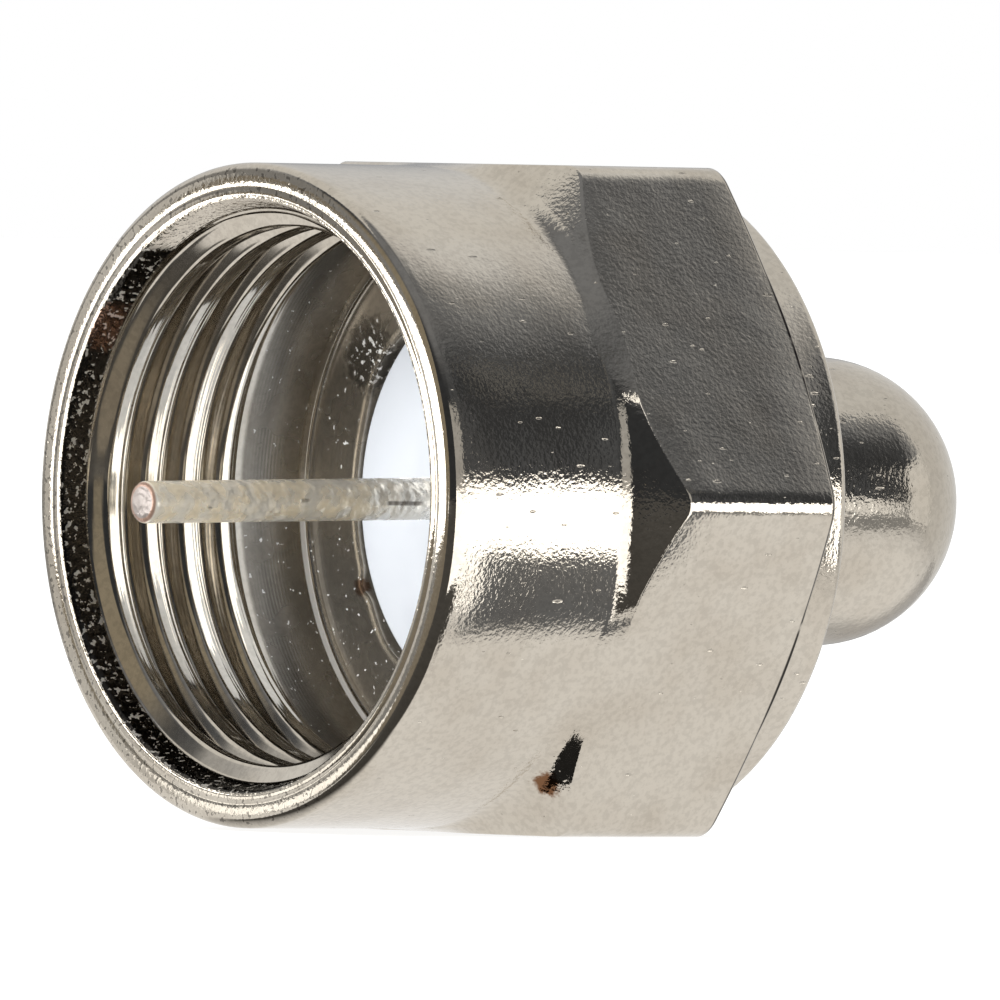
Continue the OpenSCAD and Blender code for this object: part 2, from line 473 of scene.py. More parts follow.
LACQUER = LacquerFinish(
    "lacquer", (0.50, 0.34, 0.17), (0.42, 0.27, 0.12), SkinScales(1.4, 5.0, 6.0, 0.1), (0.18, 0.32),
    bump_m=0.000006, cloud_edge=(0.4, 0.7),
)
CAP_STEEL = PlainFinish(
    "cap_steel", (0.58, 0.58, 0.57), (0.48, 0.46, 0.42), SkinScales(2.2, 14.0, 7.0, 0.2), (0.25, 0.4),
    bump_m=0.000003, rough_edge=(0.3, 0.75), pit_strength=0.5, metallic=1.0,
)
SOLDER = PlainFinish(
    "solder", (0.55, 0.55, 0.56), (0.46, 0.45, 0.44), SkinScales(2.2, 6.0, 7.0, 0.2), (0.3, 0.5),
    bump_m=0.000010, rough_edge=(0.3, 0.75), pit_strength=0.5, metallic=1.0,
)


@dataclass(frozen=True)
class NickelFinish:
    """Bright nickel on a die casting, smooth where the bore is turned; places are in millimetres."""

    light: Colour = (0.65, 0.60, 0.52)
    dull: Colour = (0.585, 0.53, 0.45)
    dark: Colour = (0.03, 0.027, 0.024)
    bare: Colour = (0.95, 0.92, 0.86)
    # pale dust; the painted highlight line takes this colour too
    dust: Colour = (0.9, 0.89, 0.86)
    copper: Colour = (0.34, 0.20, 0.14)
    rubbed: Colour = (0.95, 0.78, 0.70)
    # dark brown for painted shade in the seat gap and a painted reflection on the lower front facet
    painted_dark_brown: Colour = (0.20, 0.10, 0.05)
    scales: SkinScales = SkinScales(wave=0.9, grain=14.0, pit=7.0, pit_share=0.45)
    bump_m: float = 0.000016
    cloud_edge: Span = (0.35, 0.75)
    rough_edge: Span = (0.3, 0.8)
    rough: Span = (0.04, 0.1)
    fine_scale: float = 9.0
    grain_edge: Span = (0.35, 0.6)
    speck_edge: Span = (0.57, 0.63)
    speck_strength: float = 0.95
    dust_edge: Span = (0.68, 0.72)
    bore_wall: Span = (4.91, 4.95)
    bore_end: Span = (5.9, 6.0)
    lead_in_end: Span = (0.43, 0.47)
    # height where the lead-in turns from its painted dark reflection to the part that catches the light
    lit_above: Span = (3.95, 4.15)
    lit_lean: float = -0.7
    far_half: Span = (-2.5, -0.5)
    near_side: Span = (-3.5, -1.5)
    rim_face: Span = (0.015, 0.05)
    rim_round: Span = (0.1, 0.3)
    flank_r: Span = (4.5, 4.53)
    thread_end: Span = (3.6, 3.7)
    relief_start: Span = (3.65, 3.8)
    relief_end: Span = (4.95, 5.0)
    # painted shade in the thread relief, darkest at its front and fading deeper in
    relief_shade_edge: Span = (4.1, 4.5)
    relief_shade_strength: Span = (0.65, 0.2)
    shoulder_start: Span = (5.14, 5.18)
    # painted highlight along the fillet between the relief wall and the shoulder, strongest low down
    painted_highlight_edge: tuple[float, float, float] = (5.06, 0.07, 0.03)
    highlight_below: Span = (-0.4, 0.6)
    bright: Span = (0.8, 0.1)
    feed_marks: Span = (90.0, 60.0)
    collar_r: float = 5.475
    rear_slope: float = math.tan(math.radians(17))
    # painted dark reflection along the hexagon's rounded rear edges
    rear_reflection_line: tuple[float, float, float] = (7.72, 0.06, 0.03)
    rear_turn: Span = (0.35, 0.6)
    rear_raised: Span = (5.525, 5.545)
    break_scale: float = 1.3
    break_edge: Span = (0.3, 0.42)
    worn: Spot = Spot((0.25, 4.0, 2.75), 0.55)
    staked: Spot = Spot((5.2, 3.24, 2.31), 0.75)
    # painted shade in the seat's narrow gap, and a painted dark reflection on the lower front facet
    gap_shade_spot: Spot = Spot((5.22, 3.36, -1.56), 0.2)
    facet_reflection_spot: Spot = Spot((3.95, -3.25, -4.65), 0.3)
    grain_strength: float = 0.12
    rim_calm: float = -0.8
    mark_height: float = 0.012
    lead_in_coarse: float = 1.5
    rim_coarse: float = 0.08
    shoulder_dull: float = -0.08
    dust_and_highlight_dull: float = -0.8

    def rear_edge(self, bench: NodeBench, at: Socket, x: Socket, r: Socket) -> Socket:
        """Find the broken painted dark reflection along the hexagon's rounded rear edges.

        Args:
            bench: Bench of the material.
            at: Place in millimetres.
            x: Place along the axis.
            r: Distance from the axis.

        Returns:
            The mask of the line.
        """
        slope = bench.math("MULTIPLY_ADD", bench.math("SUBTRACT", r, self.collar_r), self.rear_slope, x)
        rearward = bench.split(bench.add("ShaderNodeNewGeometry").outputs["Normal"])[0]
        broken = bench.ramp(bench.noise(at, self.break_scale), *self.break_edge)
        line = bench.product(bench.stripe(slope, *self.rear_reflection_line), bench.fall(rearward, *self.rear_turn))
        return bench.product(line, bench.ramp(r, *self.rear_raised), broken)

    def zones(self, bench: NodeBench, at: Socket) -> dict[str, Socket]:
        """Find the places that are finished in their own way, and the places that carry a painted dark
        reflection, painted shade and a painted highlight.

        Args:
            bench: Bench of the material.
            at: Place in millimetres.

        Returns:
            A mask for each place, and the bore's tool marks.
        """
        x, y, z = bench.split(at)
        r = bench.radius(y, z)
        bore = bench.product(bench.fall(r, *self.bore_wall), bench.fall(x, *self.bore_end))
        lead_in = bench.product(bore, bench.fall(x, *self.lead_in_end))
        start = bench.product(bore, bench.ramp(x, *self.relief_start))
        relief = bench.product(start, bench.fall(x, *self.relief_end))
        far = bench.ramp(y, *self.far_half, 0.5, 1.0)
        below = bench.ramp(z, *self.highlight_below, *self.bright)
        near = bench.ramp(y, *self.near_side, 1.0, 0.75)
        marks = bench.math("MULTIPLY", r, self.feed_marks[1])
        return {
            "bore": bore,
            "lead_in": lead_in,
            # painted dark reflection on the lead-in below where it catches the light, half as strong on the
            # near side
            "shaded": bench.product(lead_in, bench.fall(z, *self.lit_above), far),
            "lit": bench.product(lead_in, bench.ramp(z, *self.lit_above)),
            "flank": bench.product(bore, bench.ramp(r, *self.flank_r), bench.fall(x, *self.thread_end)),
            "relief": relief,
            # painted shade in the recess of the thread relief
            "painted_relief_shade": bench.product(relief, start, bench.ramp(x, *self.relief_shade_edge, *self.relief_shade_strength)),
            "shoulder": bench.product(bore, bench.ramp(x, *self.shoulder_start)),
            "rim": bench.product(bench.fall(x, *self.rim_face), bench.ramp(y, *self.near_side, 0.15, 1.0)),
            "smooth_rim": bench.product(bench.fall(x, *self.rim_round), near),
            # painted highlight at the foot of the relief wall
            "painted_highlight_edge": bench.product(bore, bench.stripe(x, *self.painted_highlight_edge), below),
            # painted dark reflection on the hexagon's rear edges
            "rear_edge": self.rear_edge(bench, at, x, r),
            "tool_marks": bench.math("SINE", bench.math("MULTIPLY_ADD", x, self.feed_marks[0], marks)),
        }

    def leaning(self, bench: NodeBench, lit: Socket) -> Socket:
        """Normal that leans out of the mouth where the lead-in catches the light.

        Args:
            bench: Bench of the material.
            lit: Mask of the lit lead-in.

        Returns:
            The normal.
        """
        normal = bench.add("ShaderNodeNewGeometry").outputs["Normal"]
        lean = bench.add("ShaderNodeCombineXYZ", {0: bench.product(lit, self.lit_lean)}).outputs[0]
        total = bench.add("ShaderNodeVectorMath", {0: normal, 1: lean}, operation="ADD").outputs[0]
        return bench.add("ShaderNodeVectorMath", {0: total}, operation="NORMALIZE").outputs[0]

    def material(self, shelf: EffectShelf) -> Material:
        """Make the plating.

        Args:
            shelf: The shared effects.

        Returns:
            The material.
        """
        material, bench, shader = start_material("nickel_plate")
        at = bench.millimetres()
        zones = self.zones(bench, at)
        skin = shelf.place_skin(bench, at, self.scales)
        cloud = skin.outputs["Cloud"]
        fine = bench.noise(at, self.fine_scale, 2.0, 0.6)
        specks = bench.ramp(fine, *self.speck_edge, 0.0, self.speck_strength)
        cast = bench.math("SUBTRACT", 1.0, zones["bore"])
        pits = bench.product(skin.outputs["Pits"], cast)
        spots = (self.worn, self.staked, self.gap_shade_spot, self.facet_reflection_spot)
        worn, staked, gap_shade_spot, facet_reflection_spot = (shelf.place_spot(bench, at, spot, fine) for spot in spots)
        bare = bench.product(zones["shaded"], specks)
        bottom = bench.math("ADD", zones["relief"], zones["shoulder"])
        dust = bench.ramp(fine, *self.dust_edge)
        dust_and_highlight = bench.math("MULTIPLY_ADD", bottom, dust, bench.product(staked, specks))
        # the painted highlight line joins the dust specks
        dust_and_highlight = bench.math("ADD", dust_and_highlight, zones["painted_highlight_edge"])
        between_specks = bench.math("SUBTRACT", self.speck_strength, specks)
        base = bench.blend(bench.ramp(cloud, *self.cloud_edge), self.light, self.dull)
        layers = (
            (bench.ramp(fine, *self.grain_edge, self.grain_strength, 0.0), 1.0, self.dark),
            (pits, 0.15, self.dark),
            # painted dark reflection on the lead-in, with pale rough specks left in it
            (bench.product(zones["shaded"], between_specks), 1.0, self.dark),
            (bare, 1.0, self.bare),
            (bench.product(zones["rim"], specks), 0.6, self.dark),
            # painted shade in the thread relief
            (zones["painted_relief_shade"], 1.0, self.dark),
            (bench.product(zones["lead_in"], worn), 0.8, bench.blend(specks, self.copper, self.rubbed)),
            (staked, 0.5, self.dark),
            # dust specks and the painted highlight line
            (dust_and_highlight, 1.0, self.dust),
            # painted dark reflection on the hexagon's rear edges
            (zones["rear_edge"], 1.0, self.dark),
            # painted shade in the seat gap and a painted dark reflection on the lower front facet
            (gap_shade_spot, 0.8, self.painted_dark_brown),
            (facet_reflection_spot, 1.0, self.painted_dark_brown),
        )
        for mask, strength, colour in layers:
            base = bench.blend(bench.product(mask, strength), base, colour)
        rough = bench.ramp(cloud, *self.rough_edge, *self.rough)
        for mask, rougher in ((pits, 0.2), (bottom, 0.2), (bare, 0.5), (zones["flank"], 0.05)):
            rough = bench.math("MULTIPLY_ADD", mask, rougher, rough)
        calm = bench.math("MULTIPLY_ADD", zones["smooth_rim"], self.rim_calm, 1.0)
        height = bench.product(skin.outputs["Height"], cast, calm)
        marks = bench.product(zones["tool_marks"], zones["bore"], self.mark_height)
        coarse = bench.math("MULTIPLY_ADD", zones["lead_in"], self.lead_in_coarse, staked)
        coarse = bench.math("MULTIPLY_ADD", zones["rim"], self.rim_coarse, coarse)
        height = bench.math("MULTIPLY_ADD", coarse, fine, bench.math("ADD", height, marks))
        bumps = {"Height": height, "Distance": self.bump_m, "Normal": self.leaning(bench, zones["lit"])}
        metal = bench.math("MULTIPLY_ADD", zones["shoulder"], self.shoulder_dull, 1.0)
        bench.feed(shader, "Base Color", base)
        bench.feed(shader, "Roughness", rough)
        bench.feed(shader, "Metallic", bench.math("MULTIPLY_ADD", dust_and_highlight, self.dust_and_highlight_dull, metal))
        bench.feed(shader, "Normal", bench.add("ShaderNodeBump", bumps).outputs[0])
        return material


def ring(x: float | np.ndarray, r: float | np.ndarray, columns: int) -> Row:
    """One row of a turned form: the place along the axis and the radius of each column, in millimetres."""
    ones = np.ones(columns)
    return ones * x, ones * r


def between(first: Row, last: Row, count: int) -> list[Row]:
    """A number of rows on a straight line between two rows, without those two."""
    shares = [(step + 1) / (count + 1) for step in range(count)]
    return [tuple(a + (b - a) * share for a, b in zip(first, last)) for share in shares]


def rounded(before: Row, corner: Row, after: Row, radius: float, count: int) -> list[Row]:
    """Rows of an arc that rounds a corner of the outline.

    Args:
        before: Row before the corner.
        corner: The sharp corner.
        after: Row after the corner.
        radius: Radius in millimetres, made smaller where a side is short.
        count: Number of rows of the arc.

    Returns:
        The rows in order.
    """
    corner_at = np.stack(corner)
    sides = []
    lengths = []
    for other in (before, after):
        side = np.stack(other) - corner_at
        length = np.maximum(np.hypot(*side), 1e-6)
        sides.append(side / length)
        lengths.append(length)
    half = 0.5 * np.arccos(np.clip((sides[0] * sides[1]).sum(0), -0.9999, 0.9999))
    reach = np.minimum(radius / np.tan(half), 0.45 * np.minimum(*lengths))
    weight = np.sin(half)
    start = corner_at + sides[0] * reach
    end = corner_at + sides[1] * reach
    rows = []
    for step in range(count):
        t = step / (count - 1)
        parts = ((1 - t) ** 2, 2 * t * (1 - t) * weight, t ** 2)
        spot = (start * parts[0] + corner_at * parts[1] + end * parts[2]) / sum(parts)
        rows.append((spot[0], spot[1]))
    return rows


def turn(name: str, rows: list[Row], angles: np.ndarray) -> Piece:
    """Spin an outline about the X axis and lay each ring on its own rows.

    Args:
        name: Name of the piece.
        rows: Rows in order, whose first and last radius is 0 where the form closes on the axis.
        angles: Angle of each column in radians, from +Y towards +Z.

    Returns:
        The piece, smooth and with its normals outward.
    """
    base = [Vector((row[0][0], row[1][0], 0.0)) * MM for row in rows]
    bpy.ops.object.select_all(action="DESELECT")
    bpy.ops.mesh.primitive_plane_add(size=MM, location=(0, 0, 0))
    piece = bpy.context.object
    piece.name = name
    piece.data.name = name
    bpy.ops.object.mode_set(mode="EDIT")
    bpy.ops.mesh.select_all(action="SELECT")
    bpy.ops.mesh.merge(type="CENTER")
    bpy.ops.transform.translate(value=base[0])
    for here, there in zip(base, base[1:]):
        bpy.ops.mesh.extrude_region_move(TRANSFORM_OT_translate={"value": there - here})
    bpy.ops.mesh.select_all(action="SELECT")
    bpy.ops.mesh.spin(steps=len(angles), angle=2 * math.pi, center=(0, 0, 0), axis=(1, 0, 0))
    bpy.ops.mesh.select_all(action="SELECT")
    bpy.ops.mesh.remove_doubles(threshold=MM * 0.0002)
    bpy.ops.mesh.normals_make_consistent(inside=False)
    bpy.ops.object.mode_set(mode="OBJECT")
    lay_rings(piece, rows, angles, base)
    bpy.ops.object.shade_smooth()
    bpy.ops.object.modifier_add(type="WEIGHTED_NORMAL")
    bpy.ops.object.modifier_apply(modifier=piece.modifiers[0].name)
    return piece


def lay_rings(piece: Piece, rows: list[Row], angles: np.ndarray, base: list[Vector]) -> None:
    """Move each point of a spun outline to its row and column.

    Args:
        piece: The spun mesh.
        rows: Rows of the outline.
        angles: Angle of each column.
        base: Points of the outline that was spun.
    """
    tree = kdtree.KDTree(len(base))
    for place, point in enumerate(base):
        tree.insert(point, place)
    tree.balance()
    points = np.zeros(len(piece.data.vertices) * 3)
    piece.data.vertices.foreach_get("co", points)
    points = points.reshape(-1, 3)
    radius = np.hypot(points[:, 1], points[:, 2])
    step = 2 * math.pi / len(angles)
    column = np.round(np.arctan2(points[:, 2], points[:, 1]) / step).astype(int) % len(angles)
    row = np.array([tree.find((x, r, 0.0))[1] for x, r in zip(points[:, 0], radius)])
    xs = np.stack([each[0] for each in rows])[row, column]
    rs = np.stack([each[1] for each in rows])[row, column]
    turned = angles[column]
    laid = np.stack([xs, rs * np.cos(turned), rs * np.sin(turned)], axis=1) * MM
    piece.data.vertices.foreach_set("co", laid.ravel())
    piece.data.update()


def soft_max(a: np.ndarray, b: np.ndarray | float, blend: float) -> np.ndarray:
    """Larger of two values, with a change of side that is rounded over a width."""
    share = np.clip(0.5 + 0.5 * (a - b) / blend, 0, 1)
    return b + (a - b) * share + blend * share * (1 - share)


@dataclass
class ShellCasting:
    """The plated shell: barrel with its inner thread, hexagon, collar and ball-ended nub, in millimetres."""

    columns: int = 372
    barrel_r: float = 5.5
    rim_round: float = 0.16
    rim_lines: tuple[Span, ...] = ((5.28, 0.0), (5.12, 0.0), (5.1, 0.006), (5.08, 0.0))
    mouth_r: float = 4.89
    lip_round: float = 0.12
    counterbore_r: float = 4.77
    counterbore_len: float = 0.45
    mouth_blend: float = 0.03
    thread_minor_r: float = 4.46
    thread_major_r: float = 4.76
    pitch: float = 0.79375
    flank_angle: float = math.radians(30)
    crest_at: float = 0.83
    crest_half: float = 0.17
    crest_blend: float = 0.045
    root_blend: float = 0.05
    seam_at: float = 0.07
    seam_half: float = 0.024
    seam_depth: float = 0.012
    thread_start: float = 0.2
    thread_end: float = 3.6
    thread_past: float = 0.1
    thread_step: float = 0.028
    exit_blend: float = 0.04
    hand: ThreadHand = ThreadHand.RIGHT
    relief_r: float = 4.8
    relief_round: float = 0.12
    shoulder_x: float = 5.2
    seat_r: float = 3.55
    seat_round: float = 0.06
    gaps: tuple[tuple[float, float, float], ...] = ((35, 11, 0.14), (-42, 9, 0.1), (-25, 2.6, 0.13))
    seat_floor: float = 6.76
    chamber_r: float = 1.45
    chamber_end: float = 12.99
    chamber_round: float = 0.04
    well_r: float = 0.65
    well_end: float = 13.84
    half_flat: float = 5.55
    corner_round: float = 0.5
    hex_start: float = 3.78
    hex_end: float = 7.75
    front_slope: float = math.radians(36)
    front_round: float = 0.09
    rear_slope: float = math.radians(17)
    rear_round: float = 0.14
    barrel_fillet: float = 0.55
    wash_len: float = 0.45
    wash_rise: float = 0.12
    collar_r: float = 5.475
    collar_fillet: float = 0.08
    collar_round: float = 0.2
    rear_face: float = 8.48
    nub_r: float = 2.42
    nub_fillet: float = 0.3
    nub_tip: float = 14.6
    ball_rows: int = 22

    def angles(self) -> np.ndarray:
        """Column angles, closer together near the six corners.

        Returns:
            The angles in radians, the first one on a corner.
        """
        place = np.arange(self.columns) * 6 / self.columns
        sector = np.floor(place + 0.5)
        part = place - sector
        return (sector + 0.5 * part + 2.0 * part ** 3) * math.pi / 3

    def hexagon(self, angles: np.ndarray) -> np.ndarray:
        """Radius of the hexagon with its rounded corners.

        Args:
            angles: Column angles.

        Returns:
            The radius at each column.
        """
        off = np.abs((angles + math.pi / 6) % (math.pi / 3) - math.pi / 6)
        middle = (self.half_flat - self.corner_round) / math.cos(math.pi / 6)
        side = self.half_flat / np.cos(math.pi / 6 - off)
        root = np.sqrt(np.maximum(self.corner_round ** 2 - (middle * np.sin(off)) ** 2, 0))
        switch = math.atan2(self.corner_round * 0.5, middle + self.corner_round * math.cos(math.pi / 6))
        return np.where(off < switch, middle * np.cos(off) + root, side)

    def outside(self, angles: np.ndarray) -> list[Row]:
        """Rows from the nub's tip to the rim.

        Args:
            angles: Column angles.

        Returns:
            The rows in order.
        """
        n = len(angles)
        flat_r = self.hexagon(angles)
        ball = self.nub_tip - self.nub_r
        rows = [ring(self.nub_tip, 0.0, n)]
        for step in range(1, self.ball_rows + 1):
            a = math.pi / 2 * step / self.ball_rows
            rows.append(ring(ball + self.nub_r * math.cos(a), self.nub_r * math.sin(a), n))
        nub_root = ring(self.rear_face, self.nub_r, n)
        collar_rear = ring(self.rear_face, self.collar_r, n)
        collar_front = ring(self.hex_end, self.collar_r, n)
        rear_edge = (self.hex_end - (flat_r - self.collar_r) * math.tan(self.rear_slope), flat_r)
        rise = flat_r - self.barrel_r
        wash = self.wash_len * np.exp(-rise / self.wash_rise)
        front_edge = (self.hex_start + rise * math.tan(self.front_slope) + wash, flat_r)
        barrel_rear = ring(self.hex_start - wash, self.barrel_r, n)
        rim_outer = ring(0.0, self.barrel_r, n)
        lip = ring(0.0, self.mouth_r, n)
        lines = [ring(depth, r, n) for r, depth in self.rim_lines]
        fillet = rounded(rows[-1], nub_root, collar_rear, self.nub_fillet, 6)
        rows += between(rows[-1], fillet[0], 3) + fillet
        edge = rounded(nub_root, collar_rear, collar_front, self.collar_round, 7)
        rows += between(rows[-1], edge[0], 2) + edge
        rows += rounded(collar_rear, collar_front, rear_edge, self.collar_fillet, 4)
        rows += rounded(collar_front, rear_edge, front_edge, self.rear_round, 6)
        edge = rounded(rear_edge, front_edge, barrel_rear, self.front_round, 6)
        rows += between(rows[-1], edge[0], 4) + edge
        rows += rounded(front_edge, barrel_rear, rim_outer, self.barrel_fillet, 9)
        edge = rounded(barrel_rear, rim_outer, lip, self.rim_round, 7)
        rows += between(rows[-1], edge[0], 3) + edge + lines
        return rows

    def bore(self, x: np.ndarray | float, angles: np.ndarray) -> np.ndarray:
        """Radius of the threaded bore.

        Args:
            x: Depth from the rim.
            angles: Column angles.

        Returns:
            The radius at each column.
        """
        turns = (x - self.crest_at) / self.pitch - self.hand.value * angles / (2 * math.pi)
        off = (turns - np.round(turns)) * self.pitch
        flank_slope = 1 / math.tan(self.flank_angle)
        flank = self.thread_minor_r + (np.abs(off) - self.crest_half) * flank_slope
        form = soft_max(flank, self.thread_minor_r, self.crest_blend)
        form = -soft_max(-form, -self.thread_major_r, self.root_blend)
        form += self.seam_depth * np.exp(-((off - self.seam_at) / self.seam_half) ** 2)
        taper = (self.mouth_r - self.counterbore_r) / self.counterbore_len
        step = self.counterbore_r - (x - self.counterbore_len) * flank_slope
        mouth = min(self.mouth_r - taper * x, step)
        exit_r = min(self.relief_r, self.relief_r + (x - self.thread_end))
        return soft_max(soft_max(form, mouth, self.mouth_blend), exit_r, self.exit_blend)

    def seat_gap(self, angles: np.ndarray) -> np.ndarray:
        """How far the insulator's seat stands open at its edge.

        Args:
            angles: Column angles.

        Returns:
            The gap at each column in millimetres.
        """
        gap = np.zeros(len(angles))
        for middle, half, depth in self.gaps:
            off = (np.degrees(angles) - middle + 180) % 360 - 180
            gap += depth * np.exp(-(off / half) ** 2)
        return gap

    def inside(self, angles: np.ndarray) -> list[Row]:
        """Rows from the rim through the thread to the end of the solder well.

        Args:
            angles: Column angles.

        Returns:
            The rows in order.
        """
        n = len(angles)
        rim = ring(0.0, self.barrel_r, n)
        lip = ring(0.0, self.mouth_r, n)
        first = ring(self.thread_start, self.bore(self.thread_start, angles), n)
        rows = rounded(rim, lip, first, self.lip_round, 5)
        for x in np.arange(self.thread_start, self.thread_end + self.thread_past, self.thread_step):
            rows.append(ring(x, self.bore(x, angles), n))
        floor = ring(self.shoulder_x, self.relief_r, n)
        seat_edge = ring(self.shoulder_x, self.seat_r + self.seat_gap(angles), n)
        corners = [
            ring(self.seat_floor, self.seat_r, n),
            ring(self.seat_floor, self.chamber_r, n),
            ring(self.chamber_end, self.chamber_r, n),
            ring(self.chamber_end, self.well_r, n),
            ring(self.well_end, self.well_r, n),
        ]
        pole = ring(self.well_end, 0.0, n)
        fillet = rounded(rows[-1], floor, seat_edge, self.relief_round, 5)
        rows += between(rows[-1], fillet[0], 3) + fillet
        edge = rounded(floor, seat_edge, corners[0], self.seat_round, 3)
        rows += between(rows[-1], edge[0], 10) + edge
        chain = [seat_edge, *corners, pole]
        for before, here, after in zip(chain, chain[1:], chain[2:]):
            rows += rounded(before, here, after, self.chamber_round, 3)
        rows.append(pole)
        return rows

    def build(self) -> Piece:
        """Make the casting as one closed mesh."""
        angles = self.angles()
        return turn("shell_casting", self.outside(angles) + self.inside(angles), angles)

    def dress(self, piece: Piece, material: Material) -> None:
        """Give the casting its plating and its place in the frame.

        Args:
            piece: The casting.
            material: Its plating.
        """
        piece.data.materials.append(material)
        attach(piece, BODY)
        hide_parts("shell")
        LOG.info("%s: %d faces", piece.name, len(piece.data.polygons))


@dataclass
class InsulatorBushing:
    """White bushing in the shoulder, in millimetres."""

    columns: int = 192
    hole_r: float = 0.37
    hole_round: float = 0.06
    face_round: float = 0.08
    floor_round: float = 0.1
    inner_round: float = 0.04

    def build(self) -> Piece:
        """Make the bushing as one closed ring.

        Returns:
            The piece.
        """
        n = self.columns
        angles = np.arange(n) * 2 * math.pi / n
        low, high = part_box("insulator")
        face_x = low.x / MM
        floor_x = high.x / MM
        outer_r = high.z / MM
        corners = [
            ring(face_x, self.hole_r, n),
            ring(face_x, outer_r, n),
            ring(floor_x, outer_r, n),
            ring(floor_x, self.hole_r, n),
        ]
        rounds = [self.hole_round, self.face_round, self.floor_round, self.inner_round]
        rows: list[Row] = []
        for place, (here, radius) in enumerate(zip(corners, rounds)):
            arc = rounded(corners[place - 1], here, corners[(place + 1) % 4], radius, 6)
            if rows:
                rows += between(rows[-1], arc[0], 4)
            rows += arc
        rows.append(rows[0])
        return turn("insulator_bushing", rows, angles)

    def dress(self, piece: Piece, material: Material) -> None:
        """Give the bushing its plastic and its place in the frame.

        Args:
            piece: The bushing.
            material: Its plastic.
        """
        piece.data.materials.append(material)
        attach(piece, BODY)
        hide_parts("insulator")
        LOG.info("%s: %d faces", piece.name, len(piece.data.polygons))


@dataclass
class CentrePin:
    """Tinned lead that stands out of the mouth, in millimetres."""

    columns: int = 64
    wire_r: float = 0.34
    tin: float = 0.01
    tin_fade: float = 0.1
    bend_x: float = 5.26
    droop: float = math.radians(1)
    reach: float = 2.12
    end_round: float = 0.07
    rear_round: float = 0.03

    def build(self) -> Piece:
        """Make the wire as one closed mesh, bent down from the insulator's face on.

        Returns:
            The piece.
        """
        n = self.columns
        angles = np.arange(n) * 2 * math.pi / n
        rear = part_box("centre_pin")[1].x / MM
        free_r = self.wire_r + self.tin
        tip = ring(-self.reach, 0.0, n)
        front = ring(-self.reach, free_r, n)
        step = ring(self.bend_x, free_r, n)
        thin = ring(self.bend_x + self.tin_fade, self.wire_r, n)
        back = ring(rear, self.wire_r, n)
        pole = ring(rear, 0.0, n)
        edge = rounded(tip, front, step, self.end_round, 5)
        rows = [tip] + between(tip, edge[0], 3) + edge
        rows += between(rows[-1], step, 40) + [step, thin]
        rows += between(thin, back, 3) + rounded(thin, back, pole, self.rear_round, 3) + [pole]
        piece = turn("centre_pin_wire", rows, angles)
        for point in piece.data.vertices:
            ahead = max(self.bend_x * MM - point.co.x, 0.0)
            point.co.z -= ahead * math.tan(self.droop)
        piece.data.update()
        return piece

    def dress(self, piece: Piece, material: Material) -> None:
        """Give the wire its tin and its place in the frame.

        Args:
            piece: The wire.
            material: Its tin.
        """
        piece.data.materials.append(material)
        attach(piece, BODY)
        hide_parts("centre_pin")
        LOG.info("%s: %d faces", piece.name, len(piece.data.polygons))


@dataclass
class ResistorInside:
    """The resistor's own solids, which keep their form and get finishes."""

    tin: Material

    def dress(self, shelf: EffectShelf) -> None:
        """Assign a finish to each solid.

        Args:
            shelf: The shared effects.
        """
        steel = CAP_STEEL.material(shelf)
        finishes = {
            "resistor_core": CERAMIC.material(shelf),
            "front_cap": steel,
            "rear_cap": steel,
            "resistor_coating": LACQUER.material(shelf),
            "ground_lead": self.tin,
            "solder_joint": SOLDER.material(shelf),
        }
        for name, material in finishes.items():
            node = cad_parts[name]
            node.data.materials.clear()
            node.data.materials.append(material)
            LOG.info("%s: %s", name, material.name)


